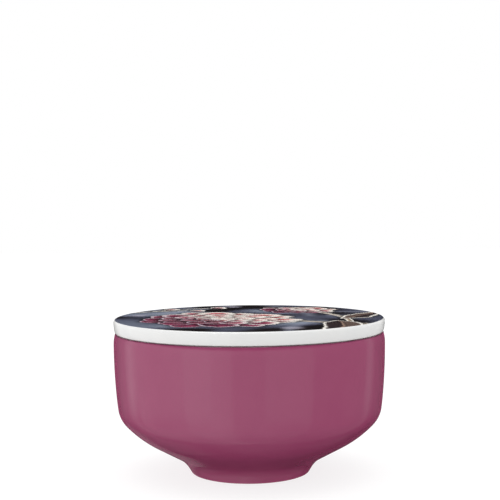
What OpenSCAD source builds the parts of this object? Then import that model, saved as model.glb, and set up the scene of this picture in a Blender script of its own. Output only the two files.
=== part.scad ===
// Lidded bowl: a porcelain bowl on a foot ring, a flat porcelain lid that lies flush on its
// rim, and the silicone seal ring that the skirt under the lid carries.
// Every piece is turned about +Z. The origin is on the axis, in the plane the bowl stands on.

/* [Bowl] */
// Widest outside diameter of the bowl
bowl_d = 150; // [140:1:160]
// Height of the rim that the lid rests on
bowl_h = 78.1; // [75:0.1:88]
// How far below the rim the wall is widest and stands upright
rim_roll_h = 6; // [5:0.5:8]
// Thickness of the wall
wall_t = 4.4; // [3.6:0.1:5.2]
// Thickness of the bottom at its middle
base_t = 5.5; // [5:0.1:6.5]

/* [Foot] */
// Outside diameter of the foot ring where it stands
foot_d = 65.3; // [62:0.1:70]
// Width of the bare ring that touches the table
foot_land = 3.4; // [2.5:0.1:4.5]
// Depth of the hollow inside the foot ring
foot_recess = 5; // [4.2:0.1:6]

/* [Lid] */
// How much narrower the lid is than the bowl, widest to widest
lid_less = 0.1; // [-1:0.1:0.8]
// Height of the lid's edge above the bowl's rim
lid_edge_h = 7.7; // [7:0.1:9]
// Thickness of the lid's plate
plate_t = 4.6; // [4:0.1:5.5]
// Depth of the skirt that reaches into the bowl
skirt_h = 8.5; // [8:0.1:11]
// Gap between the skirt and the bowl's wall
skirt_gap = 2; // [1.6:0.1:2.5]
// Thickness of the skirt
skirt_t = 4.4; // [3.8:0.1:5.5]

/* [Seal ring] */
// Height of the groove that holds the ring
groove_h = 3.6; // [3.2:0.1:4]
// Depth of that groove
groove_d = 1.6; // [1.2:0.1:2]
// Gap left between the relaxed lips and the bowl's wall
lip_gap = 0.4; // [0.3:0.05:0.8]

/* [Hidden] */

plum = "#98526c";
porcelain = "#f1eeea";
silicone = "#dfe3e2";

// How far a straight step may stand off the round it follows
fine = 0.01;

// Slopes of the bowl's outside, in degrees from level
foot_slope = 59;
flank_slope = 29.2;
shoulder_slope = 47;
belly_slope = 81.5;
wall_slope = 84.6;

// Radii of the rounds between them
edge_r = 0.8;
waist_r = 18.7;
flank_r = 60;
shoulder_r = 14;
belly_r = 106;
rim_roll_r = 20;
foot_side_l = 2.7;

// Inside of the foot ring and of the rim
inner_foot_slope = 75;
foot_fillet_r = 3;
rim_inner_r = 1;

// Rounds of the lid. Under the small top round its edge rolls in, down to the bowl's rim. It
// rests on a narrow seat alone, and outside that seat a thin seam stays open.
lid_top_r = 1.8;
lid_roll_r = 20;
seat_w = 0.5;
seam_h = 0.3;
skirt_fillet_r = 4;
skirt_draft = 2;
land_fillet_r = 1;
groove_fillet_r = 0.3;

// Seal ring
seal_play = 0.1;
seal_proud = 0.3;
lip_rise = 1.1;
lip_t = 0.5;
lip_tip_t = 0.3;

// An outline is a chain of legs. [length, 0] runs straight, and [radius, turn] runs round by
// that many degrees, to the left where turn is positive. Each leg goes on in the direction in
// which the last one ended, so every joint in the outline is smooth.
function across(leg, heading) = leg[1] == 0
    ? leg[0] * [cos(heading), sin(heading)]
    : sign(leg[1]) * leg[0] * [
        sin(heading + leg[1]) - sin(heading),
        cos(heading) - cos(heading + leg[1])
    ];

function steps(leg) = leg[1] == 0 ? 1 : ceil(abs(leg[1]) / (2 * acos(1 - fine / leg[0])));

function leg_points(start, heading, leg) = leg[1] == 0
    ? [start + across(leg, heading)]
    : [for (i = [1:steps(leg)]) start + across([leg[0], leg[1] * i / steps(leg)], heading)];

function trace(start, heading, legs, i = 0) = i == len(legs)
    ? []
    : concat(
        leg_points(start, heading, legs[i]),
        trace(start + across(legs[i], heading), heading + legs[i][1], legs, i + 1)
    );

function reach(heading, legs, i = 0) = i == len(legs)
    ? [0, 0]
    : across(legs[i], heading) + reach(heading + legs[i][1], legs, i + 1);

// Outer end of the bare ring that the bowl stands on
foot_r = foot_d / 2 - edge_r * tan(foot_slope / 2);

// The straight flank and the long round of the wall are as long as it takes to bring the
// outside to its widest point, at bowl_d / 2 and rim_roll_h below the rim
widest_z = bowl_h - rim_roll_h;
foot_legs = [[edge_r, foot_slope], [foot_side_l, 0], [waist_r, flank_slope - foot_slope]];
body_legs = [
    [flank_r, shoulder_slope - flank_slope],
    [shoulder_r, belly_slope - shoulder_slope],
    [belly_r, wall_slope - belly_slope]
];
remainder = [bowl_d / 2 - foot_r, widest_z] - reach(0, foot_legs) - reach(flank_slope, body_legs);
flank_l = (remainder[0] * cos(wall_slope) - remainder[1] * (1 - sin(wall_slope)))
    / (cos(flank_slope) * cos(wall_slope) - sin(flank_slope) * (1 - sin(wall_slope)));
wall_r = (remainder[1] - flank_l * sin(flank_slope)) / cos(wall_slope);

// The rim rolls in from the widest point and ends in a small round under the lid
rim_turn = asin((rim_roll_h - edge_r) / (rim_roll_r - edge_r));
rim_legs = [[rim_roll_r, rim_turn], [edge_r, 90 - rim_turn]];
rim_out = bowl_d / 2 + reach(90, rim_legs)[0];
rim_in = bowl_d / 2 - wall_t;

// Inside the foot ring, from the axis out to the bare ring
inner_rounds_h = (foot_fillet_r + edge_r) * (1 - cos(inner_foot_slope));
inner_side_l = (foot_recess - inner_rounds_h) / sin(inner_foot_slope);
inner_foot_legs = [
    [foot_fillet_r, -inner_foot_slope],
    [inner_side_l, 0],
    [edge_r, inner_foot_slope]
];
recess_r = foot_r - foot_land - reach(0, inner_foot_legs)[0];

// Inside the bowl the wall keeps its thickness down to the flank, and the well's own round
// then runs out into the level floor
floor_z = foot_recess + base_t;
flank_top_z = reach(0, concat(foot_legs, [[flank_l, 0]]))[1];
well_r = (flank_top_z + wall_t * cos(flank_slope) - floor_z) / (1 - cos(flank_slope));

bowl_legs = concat(
    [[recess_r, 0]],
    inner_foot_legs,
    [[foot_land, 0]],
    foot_legs,
    [[flank_l, 0]],
    body_legs,
    [[wall_r, 90 - wall_slope]],
    rim_legs,
    [[rim_out - rim_in - rim_inner_r, 0], [rim_inner_r, 90], [rim_roll_h - rim_inner_r, 0]],
    [
        [wall_r - wall_t, wall_slope - 90],
        [belly_r - wall_t, belly_slope - wall_slope],
        [shoulder_r - wall_t, shoulder_slope - belly_slope],
        [flank_r - wall_t, flank_slope - shoulder_slope],
        [well_r, -flank_slope]
    ]
);

// Lid: its underside starts at the axis, and the outline ends on top
lid_top = bowl_h + lid_edge_h;
plate_z = lid_top - plate_t;
skirt_r = rim_in - skirt_gap;
skirt_z = bowl_h - skirt_h;
groove_z = skirt_z + (skirt_h - groove_h) / 2;
lid_r = (bowl_d - lid_less) / 2;
lid_turn = asin((lid_edge_h - seam_h - lid_top_r - edge_r) / (lid_roll_r - edge_r));
lid_edge_legs = [[edge_r, 90 - lid_turn], [lid_roll_r, lid_turn]];
skirt_rounds_h = (skirt_fillet_r + edge_r) * (1 - sin(skirt_draft));
skirt_in_legs = [
    [skirt_fillet_r, skirt_draft - 90],
    [(plate_z - skirt_z - skirt_rounds_h) / cos(skirt_draft), 0],
    [edge_r, 90 - skirt_draft]
];
groove_legs = [
    [groove_fillet_r, 90],
    [groove_d - 2 * groove_fillet_r, 0],
    [groove_fillet_r, -90],
    [groove_h - 2 * groove_fillet_r, 0],
    [groove_fillet_r, -90],
    [groove_d - 2 * groove_fillet_r, 0],
    [groove_fillet_r, 90]
];
skirt_foot_l = skirt_t - 2 * edge_r;
under_l = skirt_r - edge_r - skirt_foot_l - reach(0, skirt_in_legs)[0];
seat_r = rim_in + rim_inner_r + seat_w;
land_l = lid_r - seat_r - seam_h - reach(0, lid_edge_legs)[0];

lid_legs = concat(
    [[under_l, 0]],
    skirt_in_legs,
    [[skirt_foot_l, 0], [edge_r, 90], [groove_z - skirt_z - edge_r - groove_fillet_r, 0]],
    groove_legs,
    [[bowl_h - groove_z - groove_h - groove_fillet_r - land_fillet_r, 0], [land_fillet_r, -90]],
    [[seat_r - skirt_r - land_fillet_r, 0], [seam_h / 2, 90], [seam_h / 2, -90], [land_l, 0]],
    lid_edge_legs,
    [[lid_top_r, 90]]
);

// Seal ring: a band in the groove with two thin lips that lean upwards and out to the wall
seal_in = skirt_r - groove_d;
seal_out = skirt_r + seal_proud;
lip_out = rim_in - lip_gap;
seal_low = groove_z + seal_play;
seal_high = groove_z + groove_h - seal_play;

function lip_outline(root_z) = [
    [seal_out, root_z],
    [lip_out, root_z + lip_rise],
    [lip_out, root_z + lip_rise + lip_tip_t],
    [seal_out, root_z + lip_t]
];

module turned(outline) {
    rotate_extrude($fn = 180) polygon(outline);
}

module bowl() {
    color(plum)
        turned(concat([[0, foot_recess]], trace([0, foot_recess], 0, bowl_legs), [[0, floor_z]]));
}

module lid() {
    color(porcelain)
        turned(concat([[0, plate_z]], trace([0, plate_z], 0, lid_legs), [[0, lid_top]]));
}

module lid_seal() {
    lip_pitch = (seal_high - seal_low) / 2;
    color(silicone)
        turned(concat(
            [[seal_in, seal_low]],
            lip_outline(seal_low),
            lip_outline(seal_low + lip_pitch),
            [[seal_out, seal_high], [seal_in, seal_high]]
        ));
}

bowl();
lid();
lid_seal();
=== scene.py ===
import math

import bpy
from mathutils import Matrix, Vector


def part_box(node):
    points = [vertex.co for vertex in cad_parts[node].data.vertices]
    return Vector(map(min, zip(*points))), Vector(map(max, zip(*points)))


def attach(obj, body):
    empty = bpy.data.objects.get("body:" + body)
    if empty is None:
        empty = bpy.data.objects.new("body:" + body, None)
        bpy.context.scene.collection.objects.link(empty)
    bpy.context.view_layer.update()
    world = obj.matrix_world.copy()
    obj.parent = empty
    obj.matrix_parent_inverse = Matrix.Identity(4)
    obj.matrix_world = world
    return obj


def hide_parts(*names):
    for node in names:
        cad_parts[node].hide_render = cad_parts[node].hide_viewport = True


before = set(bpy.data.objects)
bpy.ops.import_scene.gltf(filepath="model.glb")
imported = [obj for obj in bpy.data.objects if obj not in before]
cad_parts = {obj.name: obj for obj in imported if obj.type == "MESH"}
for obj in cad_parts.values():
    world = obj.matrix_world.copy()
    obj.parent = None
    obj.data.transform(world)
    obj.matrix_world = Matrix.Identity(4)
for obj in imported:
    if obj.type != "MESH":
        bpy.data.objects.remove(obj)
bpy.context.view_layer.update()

# Camera. It stands where the photograph of the closed bowl was taken from: a little above the
# lid, about 0.63 m off, through a long lens. The bowl stands very slightly turned in the picture.
CAMERA_LENS = 81.6
CAMERA_PLACE = (0.0011, -0.6281, 0.1473)
CAMERA_DIP = 2.227
CAMERA_ROLL = 0.55

camera = bpy.data.objects.new("camera", bpy.data.cameras.new("camera"))
camera.data.lens = CAMERA_LENS
camera.location = CAMERA_PLACE
camera.rotation_euler = (math.radians(90 - CAMERA_DIP), math.radians(CAMERA_ROLL), 0)
bpy.context.scene.collection.objects.link(camera)
bpy.context.scene.camera = camera
bpy.context.scene.view_settings.view_transform = "Standard"


# Studio. The bowl stands on white paper in an even, light room. White cards stand round the
# table and hang below its edge, and the glaze mirrors them as broad, faint, upright bands.
# Only glossy rays see the cards, and the camera sees plain white behind the bowl.
def link_or_set(tree, socket, setting):
    if isinstance(setting, bpy.types.NodeSocket):
        tree.links.new(setting, socket)
    else:
        socket.default_value = setting


def work_out(tree, operation, *values):
    node = tree.nodes.new("ShaderNodeMath")
    node.operation = operation
    for socket, value in zip(node.inputs, values):
        link_or_set(tree, socket, value)
    return node.outputs["Value"]


def work_out_vector(tree, operation, *values):
    node = tree.nodes.new("ShaderNodeVectorMath")
    node.operation = operation
    sockets = (node.inputs["Vector"], node.inputs["Scale"]) if operation == "SCALE" else node.inputs
    for socket, value in zip(sockets, values):
        link_or_set(tree, socket, value)
    is_number = operation in ("LENGTH", "DOT_PRODUCT", "DISTANCE")
    return node.outputs["Value" if is_number else "Vector"]


def parts_of(tree, vector):
    node = tree.nodes.new("ShaderNodeSeparateXYZ")
    tree.links.new(vector, node.inputs["Vector"])
    return node.outputs


# Leads from one level to another while the value goes from start to end, and holds beyond them.
def fade(tree, value, start, end, at_start=0.0, at_end=1.0, kind="SMOOTHSTEP"):
    node = tree.nodes.new("ShaderNodeMapRange")
    node.interpolation_type = kind
    for socket, setting in zip(node.inputs, (value, start, end, at_start, at_end)):
        link_or_set(tree, socket, setting)
    return node.outputs["Result"]


def between(tree, value, low, high, edge):
    rising = fade(tree, value, low - edge, low + edge)
    falling = fade(tree, value, high - edge, high + edge, 1, 0)
    return work_out(tree, "MULTIPLY", rising, falling)


def emptied_tree(owner):
    owner.use_nodes = True
    owner.node_tree.nodes.clear()
    return owner.node_tree


def white_light(tree, kind, strength):
    node = tree.nodes.new(kind)
    node.inputs["Color"].default_value = (1, 1, 1, 1)
    link_or_set(tree, node.inputs["Strength"], strength)
    return node.outputs[0]


def choose(tree, factor, first, second):
    node = tree.nodes.new("ShaderNodeMixShader")
    tree.links.new(factor, node.inputs["Fac"])
    tree.links.new(first, node.inputs[1])
    tree.links.new(second, node.inputs[2])
    return node.outputs["Shader"]


# Bearings are counted from the camera's side of the bowl to the right, elevations from level
# up, both in degrees. Each card: the bearings of its left and right edge, how bright it is at
# either, the elevation below which it fades, and how much of it is left there.
CARDS = (
    (-152, -129, 0.02, 0.27, -12, 0.45),
    (-129, -118, 0.29, 0.90, -12, 0.45),
    (-118, -108, 0.90, 0.78, -12, 0.50),
    (-108, -56, 0.74, 1.27, -16, 0.75),
    (-56, -32, 1.48, 1.50, -18, 0.75),
    (-32, -14, 1.33, 1.12, -23, 0.85),
    (-14, 13, 0.86, 0.80, -26, 0.93),
    (13, 54, 1.00, 0.82, -19, 0.72),
    (54, 114, 0.56, 0.28, -15, 0.80),
    (114, 123, 0.46, 0.47, -12, 0.50),
    (123, 130, 0.35, 0.14, -12, 0.15),
    (130, 152, 0.12, 0.03, -12, 0.10),
)
CARD_EDGE = 0.9
CARD_FOOT = 8

# The cards that hang low behind the table: the bearings of their edges, their brightness, and
# the elevations between which they set in at the top and fade out at the foot.
LOW_CARDS = (
    (-176, -146, 0.12, (-18, -23), (-30, -38)),
    (-162, -134, 0.07, (-34, -40), (-54, -66)),
    (130, 152, 0.045, (-34, -42), (-56, -68)),
)

# How the mirrored light changes with elevation: from where to where, and the level at either.
# The ceiling fades in over the dark corners of the room.
CARDS_END_ABOVE = (13, 23, 1, 0)
CARDS_FADE_BELOW = (-35, -80, 1, 0.45)
DARK_CORNERS = (-16, -28, 0.03, 0.01)
PALE_BELOW = (-58, -78, 0, 0.13)
CEILING_STARTS = (30, 65)
CEILING = 0.6

# The lamp overhead. The glaze mirrors it as a box: on each axis the middle and half the width,
# as slopes from upright.
LAMP_STARTS = (50, 75)
LAMP = 0.8
LAMP_MIRRORED = 3.2
SOFT_BOX = (("X", -0.20, 0.42), ("Y", -0.30, 0.26))
SOFT_BOX_EDGE = 0.04
LEAST_RISE = 0.01

# The room's own light, which leans towards the back and is brighter from both sides
ROOM_LEVEL = 1.08
ROOM_SIDES = 0.73
ROOM_LEAN = (-0.09, 0.2, -0.09)

room = bpy.data.worlds.new("room")
bpy.context.scene.world = room
room.cycles.sampling_method = "NONE"
tree = emptied_tree(room)
rays = tree.nodes.new("ShaderNodeLightPath").outputs
towards = tree.nodes.new("ShaderNodeTexCoord").outputs["Generated"]
way = parts_of(tree, towards)
to_front = work_out(tree, "MULTIPLY", way["Y"], -1)
bearing = work_out(tree, "DEGREES", work_out(tree, "ARCTAN2", way["X"], to_front))
elevation = work_out(tree, "DEGREES", work_out(tree, "ARCSINE", way["Z"]))

corners = fade(tree, elevation, *DARK_CORNERS)
mirrored = fade(tree, elevation, *CEILING_STARTS, corners, CEILING)
mirrored = work_out(tree, "ADD", mirrored, fade(tree, elevation, *PALE_BELOW))
card_top = fade(tree, elevation, *CARDS_END_ABOVE)
card_height = work_out(tree, "MULTIPLY", card_top, fade(tree, elevation, *CARDS_FADE_BELOW))
for left, right, at_left, at_right, foot, left_over in CARDS:
    face = between(tree, bearing, left, right, CARD_EDGE)
    face = work_out(tree, "MULTIPLY", face, fade(tree, elevation, foot, foot - CARD_FOOT, 1, left_over))
    brightness = fade(tree, bearing, left, right, at_left, at_right, "LINEAR")
    face = work_out(tree, "MULTIPLY", face, brightness)
    mirrored = work_out(tree, "MULTIPLY_ADD", face, card_height, mirrored)
for left, right, brightness, top, foot in LOW_CARDS:
    face = between(tree, bearing, left, right, CARD_EDGE)
    face = work_out(tree, "MULTIPLY", face, fade(tree, elevation, *top, 0, brightness))
    mirrored = work_out(tree, "MULTIPLY_ADD", face, fade(tree, elevation, *foot, 1, 0), mirrored)

rise = work_out(tree, "MAXIMUM", way["Z"], LEAST_RISE)
soft_box = LAMP_MIRRORED
for axis, middle, half_width in SOFT_BOX:
    off_middle = work_out(tree, "SUBTRACT", work_out(tree, "DIVIDE", way[axis], rise), middle)
    off_middle = work_out(tree, "ABSOLUTE", off_middle)
    inside = fade(tree, off_middle, half_width + SOFT_BOX_EDGE, half_width - SOFT_BOX_EDGE)
    soft_box = work_out(tree, "MULTIPLY", inside, soft_box)
mirrored = work_out(tree, "ADD", mirrored, soft_box)

sideways = work_out(tree, "MULTIPLY", way["X"], way["X"])
lean = work_out_vector(tree, "DOT_PRODUCT", towards, ROOM_LEAN)
light = work_out(tree, "MULTIPLY_ADD", sideways, ROOM_SIDES, lean)
light = work_out(tree, "ADD", light, ROOM_LEVEL)
light = work_out(tree, "MULTIPLY_ADD", fade(tree, elevation, *LAMP_STARTS), LAMP, light)

lighting = white_light(tree, "ShaderNodeBackground", light)
mirror_image = white_light(tree, "ShaderNodeBackground", mirrored)
backdrop = white_light(tree, "ShaderNodeBackground", 1.0)
seen = choose(tree, rays["Is Glossy Ray"], lighting, mirror_image)
seen = choose(tree, rays["Is Camera Ray"], seen, backdrop)
tree.links.new(seen, tree.nodes.new("ShaderNodeOutputWorld").inputs["Surface"])


# The paper. A white sheet that looks white to the camera, with the soft shadow of the foot on
# it. It throws white light up under the bowl, and glossy rays go through it to the low cards.
def diffuse(tree, level):
    node = tree.nodes.new("ShaderNodeBsdfDiffuse")
    node.inputs["Color"].default_value = (level, level, level, 1)
    return node.outputs["BSDF"]


def add_shaders(tree, first, second):
    node = tree.nodes.new("ShaderNodeAddShader")
    tree.links.new(first, node.inputs[0])
    tree.links.new(second, node.inputs[1])
    return node.outputs["Shader"]


PAPER_HALF_WIDTH = 3.0
PAPER_WHITE = 0.50
PAPER_SHADE = 0.24
PAPER_GLOW = 0.79

# The light that it throws up is a sum of rings round the foot: from which radius to which, in m,
# and the level at either. It is a little stronger on the left.
TABLE_GLOW = ((0.03, 0.055, 0.60, 0.22), (0.06, 0.095, 0.0, 0.07), (0.10, 0.42, 0.0, -0.23))
TABLE_LEAN = -0.10
FULL_LEAN_RADIUS = 0.1

paper = bpy.data.materials.new("white_paper")
tree = emptied_tree(paper)
rays = tree.nodes.new("ShaderNodeLightPath").outputs
spot = tree.nodes.new("ShaderNodeTexCoord").outputs["Object"]
from_foot = work_out_vector(tree, "LENGTH", spot)
thrown = 0.0
for ring in TABLE_GLOW:
    thrown = work_out(tree, "ADD", fade(tree, from_foot, *ring), thrown)
lean_radius = work_out(tree, "MAXIMUM", from_foot, FULL_LEAN_RADIUS)
aside = work_out(tree, "DIVIDE", parts_of(tree, spot)["X"], lean_radius)
thrown = work_out(tree, "MULTIPLY_ADD", aside, TABLE_LEAN, thrown)

own_white = white_light(tree, "ShaderNodeEmission", PAPER_GLOW)
white_sheet = add_shaders(tree, diffuse(tree, PAPER_SHADE), own_white)
thrown_light = white_light(tree, "ShaderNodeEmission", thrown)
lighting = add_shaders(tree, diffuse(tree, PAPER_WHITE), thrown_light)
gap = tree.nodes.new("ShaderNodeBsdfTransparent").outputs["BSDF"]
seen = choose(tree, rays["Is Glossy Ray"], lighting, gap)
seen = choose(tree, rays["Is Camera Ray"], seen, white_sheet)
tree.links.new(seen, tree.nodes.new("ShaderNodeOutputMaterial").inputs["Surface"])

bpy.ops.mesh.primitive_plane_add(size=2 * PAPER_HALF_WIDTH, location=(0, 0, 0))
table_top = bpy.context.object
table_top.name = "table_top"
table_top.data.materials.append(paper)

# The bowl. Porcelain, shaped on a jigger in one piece with its foot ring, glazed plum outside
# and white inside, and wiped bare on the ring that it stands on. Its section is cut from the
# frame's bowl and spun again in finer steps, so that the glaze mirrors smoothly.
TOUCHING = 1e-6
TURN_STEPS = 256
CLOSING_RINGS = (0.99, 0.6, 0.4, 0)
SMOOTH_BELOW = math.radians(35)


def select_only(piece):
    bpy.ops.object.select_all(action="DESELECT")
    piece.select_set(True)
    bpy.context.view_layer.objects.active = piece


# The spun section stays open round the axis, where its flat middles are then closed by rings
# that shrink to a point.
def turned_piece(name, node):
    piece = bpy.data.objects.new(name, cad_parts[node].data.copy())
    bpy.context.scene.collection.objects.link(piece)
    piece.data.materials.clear()
    select_only(piece)
    bpy.ops.object.mode_set(mode="EDIT")
    bpy.ops.mesh.customdata_custom_splitnormals_clear()
    bpy.ops.mesh.select_all(action="SELECT")
    bpy.ops.mesh.remove_doubles(threshold=TOUCHING)
    bpy.ops.mesh.select_all(action="DESELECT")
    bpy.ops.object.mode_set(mode="OBJECT")
    for vertex in piece.data.vertices:
        on_section = abs(vertex.co.y) < TOUCHING and vertex.co.x > 0
        vertex.select = not on_section
    bpy.ops.object.mode_set(mode="EDIT")
    bpy.ops.mesh.delete(type="VERT")
    bpy.ops.mesh.select_all(action="SELECT")
    bpy.ops.mesh.spin(steps=TURN_STEPS, angle=2 * math.pi, center=(0, 0, 0), axis=(0, 0, 1))
    bpy.ops.mesh.select_all(action="SELECT")
    bpy.ops.mesh.remove_doubles(threshold=TOUCHING)
    for share in CLOSING_RINGS:
        bpy.ops.mesh.select_mode(type="EDGE")
        bpy.ops.mesh.select_all(action="DESELECT")
        bpy.ops.mesh.select_non_manifold(
            use_wire=False, use_multi_face=False, use_non_contiguous=False, use_verts=False
        )
        bpy.ops.mesh.extrude_edges_move()
        bpy.ops.transform.resize(value=(share, share, 1), center_override=(0, 0, 0))
    bpy.ops.mesh.select_mode(type="VERT")
    bpy.ops.mesh.select_all(action="SELECT")
    bpy.ops.mesh.remove_doubles(threshold=TOUCHING)
    bpy.ops.mesh.normals_make_consistent(inside=False)
    bpy.ops.object.mode_set(mode="OBJECT")
    bpy.ops.object.shade_smooth_by_angle(angle=SMOOTH_BELOW)
    return piece


bowl = turned_piece("bowl_body", "bowl")
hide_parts("bowl")
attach(bowl, "bowl")


# Its glazes are one skin over the clay: a faint mottle, an orange peel and fine specks, all
# given from a place in mm. The plum one is fired on the outside alone.
def new_group(name, inputs, outputs):
    group = bpy.data.node_groups.new(name, "ShaderNodeTree")
    for label, kind in inputs.items():
        group.interface.new_socket(label, in_out="INPUT", socket_type="NodeSocket" + kind)
    for label, kind in outputs.items():
        group.interface.new_socket(label, in_out="OUTPUT", socket_type="NodeSocket" + kind)
    given = group.nodes.new("NodeGroupInput").outputs
    result = group.nodes.new("NodeGroupOutput").inputs
    return group, given, result


def use_group(tree, group, **settings):
    node = tree.nodes.new("ShaderNodeGroup")
    node.node_tree = group
    for label, setting in settings.items():
        link_or_set(tree, node.inputs[label.capitalize()], setting)
    return node.outputs


def noise(tree, place, scale, detail, roughness=0.5, dimensions="3D"):
    node = tree.nodes.new("ShaderNodeTexNoise")
    node.noise_dimensions = dimensions
    node.inputs["Scale"].default_value = scale
    node.inputs["Detail"].default_value = detail
    node.inputs["Roughness"].default_value = roughness
    tree.links.new(place, node.inputs["Vector"])
    return node.outputs


# A Mix node has a set of sockets for each kind of data. These are the ones for colours.
MIX_FACTOR, MIX_FIRST, MIX_SECOND, MIX_RESULT = 0, 6, 7, 2


def blend(tree, factor, first, second, kind="MIX"):
    node = tree.nodes.new("ShaderNodeMix")
    node.data_type = "RGBA"
    node.blend_type = kind
    for number, setting in ((MIX_FACTOR, factor), (MIX_FIRST, first), (MIX_SECOND, second)):
        link_or_set(tree, node.inputs[number], setting)
    return node.outputs[MIX_RESULT]


EITHER_WAY = (0.3, 0.7, -1.0, 1.0, "LINEAR")
SPECK_CELLS = 0.16
SPECK_SIZE = (0.018, 0.045)

tree, given, result = new_group(
    "glaze_skin", {"Place": "Vector"}, {"Mottle": "Float", "Ripple": "Float", "Speck": "Float"}
)
mottle = noise(tree, given["Place"], scale=0.09, detail=2.0)["Fac"]
tree.links.new(fade(tree, mottle, *EITHER_WAY), result["Mottle"])
ripple = noise(tree, given["Place"], scale=0.42, detail=1.0)["Fac"]
tree.links.new(fade(tree, ripple, *EITHER_WAY), result["Ripple"])
cells = tree.nodes.new("ShaderNodeTexVoronoi")
cells.inputs["Scale"].default_value = SPECK_CELLS
tree.links.new(given["Place"], cells.inputs["Vector"])
tree.links.new(fade(tree, cells.outputs["Distance"], *SPECK_SIZE, 1.0, 0.0), result["Speck"])
glaze_skin = tree


def new_material(name):
    material = bpy.data.materials.new(name)
    material.use_nodes = True
    tree = material.node_tree
    in_metres = tree.nodes.new("ShaderNodeTexCoord").outputs["Object"]
    in_mm = work_out_vector(tree, "SCALE", in_metres, 1000.0)
    return material, tree, tree.nodes["Principled BSDF"].inputs, in_mm


def relief(tree, height, depth_in_m):
    node = tree.nodes.new("ShaderNodeBump")
    node.inputs["Distance"].default_value = depth_in_m
    tree.links.new(height, node.inputs["Height"])
    return node.outputs["Normal"]


def by_mottle(tree, skin, least, most):
    return fade(tree, skin["Mottle"], -1.0, 1.0, least, most, "LINEAR")


# Plum glaze. It is paler in its lowest millimetre, at the foot. Just under the rim, which is white,
# it is darkened by a painted shade for the shadow in the gap under the lid. Its colour is lifted at
# a glancing look, a painted light that makes up for what the gloss takes from the sides.
PLUM = (0.29, 0.050, 0.125, 1)
PLUM_PALE = (0.36, 0.085, 0.165, 1)
PLUM_PAINTED_SHADE = (0.08, 0.012, 0.035, 1)
RIM_WHITE = (0.78, 0.78, 0.77, 1)
MOTTLED = (0.0, 0.10)
PLUM_ROUGHNESS = (0.08, 0.12)
RIPPLE_DEPTH = 0.000006
GLAZE_IOR = 1.5
PAINTED_LIGHT_AT_A_GLANCE = (0.25, 0.66, 1.0, 1.85)

rim_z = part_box("bowl")[1][2] * 1000
PALER_UNDER = (1.1, 0.3, 0.0, 0.6)
PAINTED_SHADE_ABOVE = (rim_z - 0.8, rim_z - 0.2, 0.0, 0.6)
WHITE_ABOVE = (rim_z - 0.3, rim_z - 0.1)
WHITE_WITHIN = (73.3, 73.0)
WHITE_WANDERS = 0.12

plum, tree, shader, in_mm = new_material("fired_plum")
skin = use_group(tree, glaze_skin, place=in_mm)
height = parts_of(tree, in_mm)["Z"]
colour = blend(tree, by_mottle(tree, skin, *MOTTLED), PLUM, PLUM_PALE)
colour = blend(tree, fade(tree, height, *PALER_UNDER), colour, PLUM_PALE)
# Painted shade: the glaze just under the rim is darkened for the shadow in the gap under the lid
colour = blend(tree, fade(tree, height, *PAINTED_SHADE_ABOVE), colour, PLUM_PAINTED_SHADE)
radius = work_out_vector(tree, "LENGTH", work_out_vector(tree, "MULTIPLY", in_mm, (1.0, 1.0, 0.0)))
radius = work_out(tree, "MULTIPLY_ADD", skin["Ripple"], WHITE_WANDERS, radius)
on_rim = fade(tree, radius, *WHITE_WITHIN)
on_rim = work_out(tree, "MULTIPLY", on_rim, fade(tree, height, *WHITE_ABOVE))
colour = blend(tree, on_rim, colour, RIM_WHITE)
# Painted light: the base colour is multiplied up at a glancing look, brightening the sides
glance = tree.nodes.new("ShaderNodeFresnel")
glance.inputs["IOR"].default_value = GLAZE_IOR
painted_glance_light = fade(tree, glance.outputs["Fac"], *PAINTED_LIGHT_AT_A_GLANCE)
tree.links.new(blend(tree, 1.0, colour, painted_glance_light, "MULTIPLY"), shader["Base Color"])
tree.links.new(by_mottle(tree, skin, *PLUM_ROUGHNESS), shader["Roughness"])
tree.links.new(relief(tree, skin["Ripple"], RIPPLE_DEPTH), shader["Normal"])

# White: a clear glaze over the white clay, with rare fine iron specks. Its colour is painted paler
# at a glancing look, a painted sheen.
WHITE_COOL = (0.765, 0.77, 0.765, 1)
WHITE_WARM = (0.785, 0.785, 0.775, 1)
WHITE_PAINTED_SHEEN = (0.93, 0.93, 0.92, 1)
WHITE_ROUGHNESS = (0.09, 0.13)
IRON_SPECK = (0.45, 0.40, 0.36, 1)
SPECK_STRENGTH = 0.35
PAINTED_SHEEN_AT_A_GLANCE = (0.55, 0.78)

white, tree, shader, in_mm = new_material("clear_glaze")
skin = use_group(tree, glaze_skin, place=in_mm)
colour = blend(tree, by_mottle(tree, skin, 0.0, 1.0), WHITE_COOL, WHITE_WARM)
speck = work_out(tree, "MULTIPLY", skin["Speck"], SPECK_STRENGTH)
colour = blend(tree, speck, colour, IRON_SPECK)
# Painted sheen: the base colour turns paler at a glancing look
glance = tree.nodes.new("ShaderNodeLayerWeight").outputs["Facing"]
colour = blend(tree, fade(tree, glance, *PAINTED_SHEEN_AT_A_GLANCE), colour, WHITE_PAINTED_SHEEN)
tree.links.new(colour, shader["Base Color"])
tree.links.new(by_mottle(tree, skin, *WHITE_ROUGHNESS), shader["Roughness"])
tree.links.new(relief(tree, skin["Ripple"], RIPPLE_DEPTH), shader["Normal"])

# Bare clay, wiped clean of glaze before the firing: fine, dry and slightly sandy
CLAY_DARK = (0.60, 0.56, 0.50, 1)
CLAY_PALE = (0.74, 0.71, 0.66, 1)
CLAY_ROUGHNESS = 0.8
SAND_DEPTH = 0.00003

bare, tree, shader, in_mm = new_material("bare_porcelain")
sand = noise(tree, in_mm, scale=4.0, detail=3.0)["Fac"]
tree.links.new(blend(tree, sand, CLAY_DARK, CLAY_PALE), shader["Base Color"])
shader["Roughness"].default_value = CLAY_ROUGHNESS
tree.links.new(relief(tree, sand, SAND_DEPTH), shader["Normal"])


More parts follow.
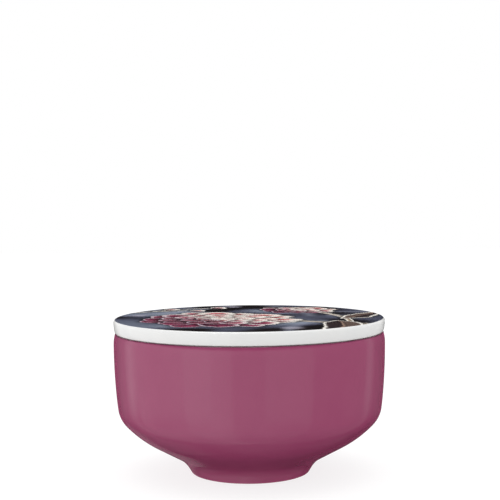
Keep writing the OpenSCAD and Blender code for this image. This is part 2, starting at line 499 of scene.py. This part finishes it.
# Where each finish lies, by a face's middle, in mm, and by the way it faces
def give_materials(piece, materials, choice):
    for material in materials:
        piece.data.materials.append(material)
    for face in piece.data.polygons:
        x, y, z = face.center
        radius = math.hypot(x, y)
        outwards = (face.normal.x * x + face.normal.y * y) / radius
        chosen = choice(radius * 1000, z * 1000, outwards, face.normal.z)
        face.material_index = materials.index(chosen)


BARE_UP_TO = 0.02
HOLLOW_RADIUS = 27
RIM_HEIGHT = 1.1
FACES_INWARDS = -0.02
FACES_UP = 0.9


def bowl_material(radius, z, outwards, up):
    is_floor = up > FACES_UP and z < rim_z - RIM_HEIGHT
    if z < BARE_UP_TO:
        return bare
    if outwards < FACES_INWARDS or radius < HOLLOW_RADIUS or is_floor:
        return white
    return plum


give_materials(bowl, (plum, white, bare), bowl_material)

# The lid. A flat porcelain plate as wide as the bowl, which rests on the rim by its edge, with
# a skirt under it that centres it. It is pressed in one piece, glazed clear over white, and
# fired standing on the skirt's foot, which stays bare.
lid = turned_piece("lid_plate", "lid")
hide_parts("lid")
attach(lid, "lid")

lid_lowest, lid_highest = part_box("lid")
skirt_foot_z = lid_lowest[2] * 1000


def lid_material(radius, z, outwards, up):
    return bare if z < skirt_foot_z + BARE_UP_TO else white


give_materials(lid, (white, bare), lid_material)

# The print. A transfer of ceramic colours, fired over the whole top and down into its round. It
# is let into the plate by its own thickness, and satin where the white glaze round it is glossy.
PRINT_T = 0.00015
PRINT_REACHES_DOWN = 0.00031
PRINT_SLOPE = 0.5

print_edge_z = lid_highest[2] - PRINT_REACHES_DOWN


def on_top(face):
    return face.center.z > print_edge_z and face.normal.z > PRINT_SLOPE


def select_faces(piece, choice):
    select_only(piece)
    bpy.ops.object.mode_set(mode="EDIT")
    bpy.ops.mesh.select_mode(type="FACE")
    bpy.ops.mesh.select_all(action="DESELECT")
    bpy.ops.object.mode_set(mode="OBJECT")
    for face in piece.data.polygons:
        face.select = choice(face)
    bpy.ops.object.mode_set(mode="EDIT")


print_layer = bpy.data.objects.new("lid_print", lid.data.copy())
bpy.context.scene.collection.objects.link(print_layer)
print_layer.data.materials.clear()
select_faces(print_layer, lambda face: not on_top(face))
bpy.ops.mesh.delete(type="FACE")
bpy.ops.object.mode_set(mode="OBJECT")
thickness = print_layer.modifiers.new("thickness", "SOLIDIFY")
thickness.thickness = PRINT_T
thickness.offset = -1
bpy.ops.object.modifier_apply(modifier=thickness.name)

select_faces(lid, on_top)
bpy.ops.mesh.extrude_region_shrink_fatten(TRANSFORM_OT_shrink_fatten={"value": -PRINT_T})
bpy.ops.object.mode_set(mode="OBJECT")
for piece in (print_layer, lid):
    select_only(piece)
    bpy.ops.object.shade_smooth_by_angle(angle=SMOOTH_BELOW)
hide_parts("lid")
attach(print_layer, "lid")

# Lays one frosted thing and its shadow over what is already painted. Depth is the distance in mm
# from the thing's edge, outwards, Frost how wide the frost on the edge is, also in mm, and
# Crystals its grain, from -1 to 1.
LAYER_INPUTS = {
    "Under": "Color", "Crystals": "Float", "Frost": "Float",
    "Deep": "Color", "Bright": "Color", "Ice": "Color",
}
SHADOW_FALLS = (-0.5, 4.0, 0.30, 1.0)
EDGE_IS_RAGGED = 0.75
EDGE_IS_SOFT = (0.15, -0.15)
RIME_BEGINS = (-4.6, 0.4)
RIME_GRAIN = 0.26
RIME_COVERS = (0.20, 0.95)
ICE_GRAIN = (-0.9, 0.8, 0.66, 1.0)

tree, given, result = new_group(
    "lay_frosted", {**LAYER_INPUTS, "Depth": "Float", "Tone": "Float"}, {"Colour": "Color"}
)
shadow = fade(tree, given["Depth"], *SHADOW_FALLS)
shaded = blend(tree, 1.0, given["Under"], shadow, "MULTIPLY")
ragged = work_out(tree, "MULTIPLY", given["Frost"], EDGE_IS_RAGGED)
ragged = work_out(tree, "MULTIPLY_ADD", given["Crystals"], ragged, given["Depth"])
cover = fade(tree, ragged, *EDGE_IS_SOFT)
rime = fade(tree, work_out(tree, "DIVIDE", given["Depth"], given["Frost"]), *RIME_BEGINS)
rime = work_out(tree, "MULTIPLY_ADD", given["Crystals"], RIME_GRAIN, rime)
rime = fade(tree, rime, *RIME_COVERS)
ice = fade(tree, given["Crystals"], *ICE_GRAIN)
ice = blend(tree, 1.0, given["Ice"], ice, "MULTIPLY")
body = blend(tree, given["Tone"], given["Deep"], given["Bright"])
layer = blend(tree, rime, body, ice)
tree.links.new(blend(tree, cover, shaded, layer), result["Colour"])
lay_frosted = tree


def lay(tree, given, result, depth, tone, **changed):
    settings = {label.lower(): given[label] for label in LAYER_INPUTS}
    settings.update(changed)
    laid = use_group(tree, lay_frosted, depth=depth, tone=tone, **settings)
    tree.links.new(laid["Colour"], result["Colour"])


def weighed(tree, start, *things):
    for thing, weight in things:
        start = work_out(tree, "MULTIPLY_ADD", thing, weight, start)
    return start


# One ring of petals, each turned, as long and as dark as chance has it. Place counts in mm from
# the blossom's middle, and a petal runs from Root to Reach. Glow is the colour of a petal that
# the light comes through, and Shade that of the frost away from the light.
ANY_CHANCE = (0, 1)
PETAL_TURNS = (-0.06, 0.06)
PETAL_REACHES = (0.90, 1.07)
PETAL_TONES = (-0.12, 0.14)
PETAL_TAPER = 1.5
PETAL_ENDS_BLUNT = 2.3
PETAL_SIDES_BLUNT = 1.7
PETAL_RIBS = 9.0
PETAL_FROST = (-1.0, 1.0, 0.40, 2.1)
CREASE_ASIDE = 0.05
CREASE = (0.0, 0.16, -0.14, 0.0)
DARK_ROOT = -0.22
DIM_MIDDLE = 2.0
RING_SEED = 7.3

tree, given, result = new_group(
    "ring_of_petals",
    {
        **LAYER_INPUTS, "Place": "Vector", "Light": "Vector", "Count": "Float", "Turn": "Float",
        "Root": "Float", "Reach": "Float", "Width": "Float", "Glow": "Color", "Shade": "Color",
    },
    {"Colour": "Color"},
)
xy = parts_of(tree, given["Place"])
from_middle = work_out_vector(tree, "LENGTH", given["Place"])
per_turn = work_out(tree, "DIVIDE", given["Count"], 2 * math.pi)
angle = work_out(tree, "ADD", work_out(tree, "ARCTAN2", xy["Y"], xy["X"]), given["Turn"])
angle = work_out(tree, "MULTIPLY", angle, per_turn)
number = work_out(tree, "ROUND", angle)
seed = work_out(tree, "FLOORED_MODULO", number, given["Count"])
seed = work_out(tree, "MULTIPLY_ADD", given["Reach"], RING_SEED, seed)
chance = tree.nodes.new("ShaderNodeTexWhiteNoise")
chance.noise_dimensions = "1D"
tree.links.new(seed, chance.inputs["W"])
chances = parts_of(tree, chance.outputs["Color"])

own_turn = fade(tree, chances["X"], *ANY_CHANCE, *PETAL_TURNS, "LINEAR")
off_axis = work_out(tree, "DIVIDE", work_out(tree, "SUBTRACT", angle, number), per_turn)
off_axis = work_out(tree, "ADD", off_axis, own_turn)
reach = fade(tree, chances["Y"], *ANY_CHANCE, *PETAL_REACHES, "LINEAR")
reach = work_out(tree, "MULTIPLY", given["Reach"], reach)
length = work_out(tree, "SUBTRACT", reach, given["Root"])
along = work_out(tree, "MULTIPLY", from_middle, work_out(tree, "COSINE", off_axis))
along = work_out(tree, "DIVIDE", work_out(tree, "SUBTRACT", along, given["Root"]), length)
along = work_out(tree, "MAXIMUM", along, 0.0)
across = work_out(tree, "MULTIPLY", from_middle, work_out(tree, "SINE", off_axis))
across = work_out(tree, "DIVIDE", across, given["Width"])

ends = work_out(tree, "MULTIPLY_ADD", work_out(tree, "POWER", along, PETAL_TAPER), 2.0, -1.0)
ends = work_out(tree, "POWER", work_out(tree, "ABSOLUTE", ends), PETAL_ENDS_BLUNT)
sides = work_out(tree, "POWER", work_out(tree, "ABSOLUTE", across), PETAL_SIDES_BLUNT)
depth = work_out(tree, "POWER", work_out(tree, "ADD", ends, sides), 0.5)
depth = work_out(tree, "SUBTRACT", depth, 1.0)
depth = work_out(tree, "MULTIPLY", depth, given["Width"])

lit = work_out_vector(tree, "DOT_PRODUCT", given["Place"], given["Light"])
lit = work_out(tree, "DIVIDE", lit, work_out(tree, "ADD", from_middle, DIM_MIDDLE))
ribs = work_out(tree, "SINE", work_out(tree, "MULTIPLY", across, PETAL_RIBS))
own_tone = fade(tree, chances["Z"], *ANY_CHANCE, *PETAL_TONES, "LINEAR")
crease = work_out(tree, "ABSOLUTE", work_out(tree, "ADD", across, CREASE_ASIDE))
tone = work_out(tree, "ADD", own_tone, fade(tree, crease, *CREASE))
tone = work_out(tree, "ADD", tone, DARK_ROOT)
tone = weighed(tree, tone, (along, 0.95), (ribs, 0.04), (sides, -0.22), (across, 0.20), (lit, 0.25))
tone = weighed(tree, tone, (given["Crystals"], 0.05))
tone = work_out(tree, "MINIMUM", work_out(tree, "MAXIMUM", tone, 0.0), 1.0)
frost = work_out(tree, "MULTIPLY", given["Frost"], fade(tree, lit, *PETAL_FROST))
through = work_out(tree, "MULTIPLY", fade(tree, lit, -0.1, 0.9), fade(tree, along, 0.35, 0.95))
lay(
    tree, given, result, depth, tone, frost=frost,
    bright=blend(tree, through, given["Bright"], given["Glow"]),
    ice=blend(tree, fade(tree, lit, -0.9, 0.5), given["Shade"], given["Ice"]),
)
ring_of_petals = tree

# A bow: the way along and across a line from Start over Run, which is bent sideways by Bend at
# its middle.
BOW_INPUTS = {"Place": "Vector", "Start": "Vector", "Run": "Vector", "Bend": "Float"}

tree, given, result = new_group(
    "bow", BOW_INPUTS, {"Share": "Float", "Across": "Float", "Beyond": "Float", "Arch": "Float"}
)
from_start = work_out_vector(tree, "SUBTRACT", given["Place"], given["Start"])
direction = work_out_vector(tree, "NORMALIZE", given["Run"])
length = work_out_vector(tree, "LENGTH", given["Run"])
share = work_out_vector(tree, "DOT_PRODUCT", from_start, direction)
share = work_out(tree, "DIVIDE", share, length)
held = fade(tree, share, 0, 1, 0, 1, "LINEAR")
arch = work_out(tree, "MULTIPLY", held, 4.0)
arch = work_out(tree, "MULTIPLY", arch, work_out(tree, "SUBTRACT", 1.0, held))
across = parts_of(tree, work_out_vector(tree, "CROSS_PRODUCT", direction, from_start))["Z"]
across = work_out(tree, "SUBTRACT", across, work_out(tree, "MULTIPLY", arch, given["Bend"]))
beyond = work_out(tree, "MULTIPLY", work_out(tree, "SUBTRACT", share, held), length)
tree.links.new(held, result["Share"])
tree.links.new(across, result["Across"])
tree.links.new(work_out(tree, "ABSOLUTE", beyond), result["Beyond"])
tree.links.new(arch, result["Arch"])
bow = tree


def line_in(tree, given):
    return use_group(tree, bow, **{label.lower(): given[label] for label in BOW_INPUTS})


# A stem, which thins towards its end
STEM_TAPER = (0.55, 0.4)
STEM_SHADING = (-1.1, 0.9)

tree, given, result = new_group(
    "stem",
    {**LAYER_INPUTS, **BOW_INPUTS, "Thickness": "Float"},
    {"Colour": "Color", "Depth": "Float"},
)
line = line_in(tree, given)
off_line = work_out(tree, "MULTIPLY", line["Across"], line["Across"])
off_line = work_out(tree, "MULTIPLY_ADD", line["Beyond"], line["Beyond"], off_line)
half = fade(tree, line["Share"], 0, 1, *STEM_TAPER, "LINEAR")
half = work_out(tree, "MULTIPLY", given["Thickness"], half)
depth = work_out(tree, "SUBTRACT", work_out(tree, "SQRT", off_line), half)
tone = fade(tree, work_out(tree, "DIVIDE", line["Across"], half), *STEM_SHADING)
lay(tree, given, result, depth, tone)
tree.links.new(depth, result["Depth"])
stem = tree

# A leaf with a midrib and veins, broadest nearer its root and paler on one side
LEAF_TAPER = (1.25, 0.75)
LEAF_FULLNESS = 0.85
LEAF_TIP = 1.5
LEAF_SHADING = (-2.0, 2.0, 0.0, 0.30)
MIDRIB = (0.15, 0.60, 0.8, 0.0)
VEIN = (0.80, 1.0, 0.0, 0.28)
VEIN_COUNT = 70.0
VEIN_SLANT = -1.5

tree, given, result = new_group(
    "leaf", {**LAYER_INPUTS, **BOW_INPUTS, "Width": "Float"}, {"Colour": "Color"}
)
line = line_in(tree, given)
half = fade(tree, line["Share"], 0, 1, *LEAF_TAPER, "LINEAR")
half = work_out(tree, "POWER", work_out(tree, "MULTIPLY", line["Arch"], half), LEAF_FULLNESS)
half = work_out(tree, "MULTIPLY", half, work_out(tree, "MULTIPLY", given["Width"], 0.5))
off_midrib = work_out(tree, "ABSOLUTE", line["Across"])
depth = work_out(tree, "SUBTRACT", off_midrib, half)
depth = work_out(tree, "MULTIPLY_ADD", line["Beyond"], LEAF_TIP, depth)
veins = work_out(tree, "MULTIPLY", off_midrib, VEIN_SLANT)
veins = work_out(tree, "SINE", work_out(tree, "MULTIPLY_ADD", line["Share"], VEIN_COUNT, veins))
tone = work_out(tree, "MAXIMUM", fade(tree, off_midrib, *MIDRIB), fade(tree, veins, *VEIN))
tone = work_out(tree, "ADD", tone, fade(tree, line["Across"], *LEAF_SHADING))
tone = weighed(tree, tone, (given["Crystals"], 0.06))
lay(tree, given, result, depth, tone)
leaf = tree

# A berry, lit on the side of the light and dark at its edge
BERRY_SHADING = (0.0, 0.8)
BERRY_FROSTED = (-0.9, 0.8, 0.25, 1.6)

tree, given, result = new_group(
    "berry",
    {**LAYER_INPUTS, "Place": "Vector", "Middle": "Vector", "Light": "Vector", "Radius": "Float"},
    {"Colour": "Color"},
)
out_from = work_out_vector(tree, "SUBTRACT", given["Place"], given["Middle"])
off_middle = work_out_vector(tree, "LENGTH", out_from)
depth = work_out(tree, "SUBTRACT", off_middle, given["Radius"])
lit = work_out_vector(tree, "DOT_PRODUCT", out_from, given["Light"])
lit = work_out(tree, "DIVIDE", lit, given["Radius"])
bulge = work_out(tree, "DIVIDE", off_middle, given["Radius"])
bulge = work_out(tree, "MULTIPLY", bulge, bulge)
tone = fade(tree, weighed(tree, 0.50, (lit, 0.55), (bulge, -0.35)), *BERRY_SHADING)
frost = work_out(tree, "MULTIPLY", given["Frost"], fade(tree, lit, *BERRY_FROSTED))
lay(tree, given, result, depth, tone, frost=frost)
berry = tree


def colour_of(red, green, blue):
    return tuple(((c / 255 + 0.055) / 1.055) ** 2.4 for c in (red, green, blue)) + (1.0,)


# The ceramic colours, as a screen shows them
SOOT = colour_of(24, 16, 21)
SLATE = colour_of(80, 83, 102)
MIST = colour_of(124, 133, 148)
FAR_TWIG = colour_of(142, 146, 164)
FAR_SPOT = colour_of(176, 172, 186)
BARK = colour_of(60, 44, 42)
BEIGE = colour_of(182, 160, 132)
LEAF_DARK = colour_of(40, 28, 36)
LEAF_PALE = colour_of(150, 124, 108)
PLUM_DARK = colour_of(70, 16, 42)
RASPBERRY = colour_of(176, 70, 106)
PINK = colour_of(212, 122, 140)
SALMON = colour_of(226, 118, 108)
BERRY_RED = colour_of(176, 78, 92)
FROST = colour_of(252, 247, 238)
FROST_SHADE = colour_of(206, 186, 200)

# The drawing, in mm from the lid's middle. A line has its start, its run and its bend. A far
# twig then has its thickness and strength, a twig its thickness and a leaf its width.
FAR_TWIGS = (
    ((-70.0, 12.0), (60.0, 62.0), -6.0, 3.0, 0.55),
    ((-62.0, 48.0), (44.0, -30.0), 5.0, 2.4, 0.45),
    ((8.0, 72.0), (26.0, -70.0), 7.0, 2.6, 0.40),
    ((70.0, 20.0), (-58.0, -8.0), -9.0, 3.0, 0.45),
    ((20.0, -74.0), (20.0, 50.0), 6.0, 2.6, 0.40),
)
FAR_SPOTS = (((-10.0, 62.0), 4.5), ((-62.0, 12.0), 4.0), ((48.0, 4.0), 3.5), ((22.0, -60.0), 5.0))
TWIGS = (
    ((-80.0, 20.0), (50.0, 20.0), 5.0, 2.2),
    ((-56.0, 36.0), (37.0, 18.0), 4.0, 1.8),
    ((-51.0, 36.5), (3.5, 8.0), -1.5, 1.6),
    ((78.0, -46.0), (-74.0, 46.0), 9.0, 4.4),
    ((53.0, -38.0), (-21.0, 72.0), -8.0, 3.6),
)
LEAVES = (((48.0, -24.0), (-8.0, -48.0), 4.0, 21.0), ((50.0, -14.0), (20.0, 36.0), -4.0, 17.0))
BERRIES = (((-30.0, 39.0), 4.8), ((-46.5, 46.0), 4.2), ((-19.0, 54.0), 5.4))

# A blossom has its middle, how far it is squashed and how it leans, and then its rings from
# outside in: how many petals, the ring's turn, root, reach and width, its frost and its colour.
# Each ring is laid twice, the upper petals between the lower ones and a little shorter.
BLOSSOMS = (
    ((29.0, 37.0), 0.78, 0.5, (
        (6, 0.2, 4.0, 25.0, 7.5, 0.8, RASPBERRY),
        (5, 0.5, 1.0, 15.0, 5.0, 0.7, PINK),
        (4, 0.1, 0.0, 7.0, 2.8, 0.55, SALMON),
    )),
    ((-17.0, -13.0), 0.86, 0.35, (
        (8, 0.1, 8.0, 46.0, 10.5, 1.05, RASPBERRY),
        (7, 0.4, 5.0, 33.0, 8.2, 1.0, PINK),
        (6, 0.9, 2.0, 21.5, 6.0, 0.9, PINK),
        (5, 0.2, 0.0, 11.5, 3.8, 0.7, SALMON),
    )),
)
UPPER_PETALS_REACH = 0.95

# Where the drawn light comes from, how wide the frost is, and how far outlines wander, in mm
LIGHT = (0.78, 0.62, 0.0)
TWIG_FROST = 0.45
LEAF_FROST = 0.75
BERRY_FROST = 0.9
OUTLINES_WANDER = (8.0, 8.0, 0.0)
CLOUDS_MOVED = (31.0, 7.0, 0.0)
SLATE_CLOUDS = (0.37, 0.54)
MIST_CLOUDS = (0.50, 0.70)
TWIG_BLUR = (5.0, -2.0)
SPOT_BLUR = (3.0, -2.5)
SPOT_STRENGTH = 0.5
FLECKS = (0.94, 1.06)
PRINT_ROUGHNESS = 0.38
PRINT_GLOSS = 0.10

print_material, tree, shader, in_mm = new_material("fired_print")
in_mm = work_out_vector(tree, "MULTIPLY", in_mm, (1.0, 1.0, 0.0))
wave = noise(tree, in_mm, scale=0.05, detail=1.5, dimensions="2D")["Color"]
push = work_out_vector(tree, "SUBTRACT", wave, (0.5, 0.5, 0.5))
push = work_out_vector(tree, "MULTIPLY", push, OUTLINES_WANDER)
place = work_out_vector(tree, "ADD", in_mm, push)
grain = noise(tree, in_mm, scale=1.1, detail=2.0, roughness=0.65, dimensions="2D")["Fac"]
crystals = fade(tree, grain, 0.28, 0.72, -1.0, 1.0, "LINEAR")

# The ground, far out of focus
cloud = work_out_vector(tree, "ADD", in_mm, CLOUDS_MOVED)
cloud = noise(tree, cloud, scale=0.021, detail=1.0, roughness=0.35, dimensions="2D")["Fac"]
colour = blend(tree, fade(tree, cloud, *SLATE_CLOUDS), SOOT, SLATE)
colour = blend(tree, fade(tree, cloud, *MIST_CLOUDS), colour, MIST)
for start, run, bend, thick, strength in FAR_TWIGS:
    line = use_group(
        tree, stem, place=in_mm, start=(*start, 0), run=(*run, 0), bend=bend, thickness=thick
    )
    blurred = fade(tree, line["Depth"], *TWIG_BLUR, 0.0, strength)
    colour = blend(tree, blurred, colour, FAR_TWIG)
for middle, size in FAR_SPOTS:
    off_middle = work_out_vector(tree, "DISTANCE", in_mm, (*middle, 0))
    off_edge = work_out(tree, "SUBTRACT", off_middle, size)
    blurred = fade(tree, off_edge, *SPOT_BLUR, 0.0, SPOT_STRENGTH)
    colour = blend(tree, blurred, colour, FAR_SPOT)

# What is in focus, from back to front
in_focus = {"crystals": crystals, "ice": FROST}
for start, run, bend, thick in TWIGS:
    colour = use_group(
        tree, stem, under=colour, place=in_mm, start=(*start, 0), run=(*run, 0), bend=bend,
        thickness=thick, frost=TWIG_FROST, deep=BARK, bright=BEIGE, **in_focus,
    )["Colour"]
for start, run, bend, width in LEAVES:
    colour = use_group(
        tree, leaf, under=colour, place=place, start=(*start, 0), run=(*run, 0), bend=bend,
        width=width, frost=LEAF_FROST, deep=LEAF_DARK, bright=LEAF_PALE, **in_focus,
    )["Colour"]
for middle, radius in BERRIES:
    colour = use_group(
        tree, berry, under=colour, place=place, middle=(*middle, 0), radius=radius, light=LIGHT,
        frost=BERRY_FROST, deep=PLUM_DARK, bright=BERRY_RED, **in_focus,
    )["Colour"]
for middle, squash, lean, rings in BLOSSOMS:
    turned = tree.nodes.new("ShaderNodeVectorRotate")
    turned.rotation_type = "Z_AXIS"
    turned.inputs["Angle"].default_value = lean
    centred = work_out_vector(tree, "SUBTRACT", place, (*middle, 0))
    tree.links.new(centred, turned.inputs["Vector"])
    spot = work_out_vector(tree, "MULTIPLY", turned.outputs["Vector"], (1.0, 1.0 / squash, 0.0))
    light = (
        LIGHT[0] * math.cos(lean) - LIGHT[1] * math.sin(lean),
        LIGHT[0] * math.sin(lean) + LIGHT[1] * math.cos(lean),
        0.0,
    )
    for count, turn, root, reach, width, frost, bright in rings:
        for half_step, share in ((0.0, 1.0), (math.pi / count, UPPER_PETALS_REACH)):
            colour = use_group(
                tree, ring_of_petals, under=colour, place=spot, light=light, count=float(count),
                turn=turn + half_step, root=root, reach=reach * share, width=width, frost=frost,
                deep=PLUM_DARK, bright=bright, glow=SALMON, shade=FROST_SHADE, **in_focus,
            )["Colour"]
flecks = fade(tree, crystals, -1.0, 1.0, *FLECKS, "LINEAR")
tree.links.new(blend(tree, 1.0, colour, flecks, "MULTIPLY"), shader["Base Color"])
shader["Roughness"].default_value = PRINT_ROUGHNESS
shader["Specular IOR Level"].default_value = PRINT_GLOSS
print_layer.data.materials.append(print_material)

# The seal. A ring of soft, milky silicone with two lips, moulded in one piece and stretched
# into the groove of the lid's skirt.
seal = turned_piece("seal_ring", "lid_seal")
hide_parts("lid_seal")
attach(seal, "lid")

SILICONE_COOL = (0.66, 0.70, 0.70, 1)
SILICONE_PALE = (0.80, 0.82, 0.81, 1)
BLOOM_ROUGHNESS = (0.3, 0.7, 0.36, 0.52)
MILKINESS = 0.25
MILKY_DEPTH = 0.0015

silicone, tree, shader, in_mm = new_material("milky_silicone")
bloom = noise(tree, in_mm, scale=0.35, detail=3.0)["Fac"]
tree.links.new(blend(tree, bloom, SILICONE_COOL, SILICONE_PALE), shader["Base Color"])
tree.links.new(fade(tree, bloom, *BLOOM_ROUGHNESS), shader["Roughness"])
shader["Subsurface Weight"].default_value = MILKINESS
shader["Subsurface Scale"].default_value = MILKY_DEPTH
seal.data.materials.append(silicone)
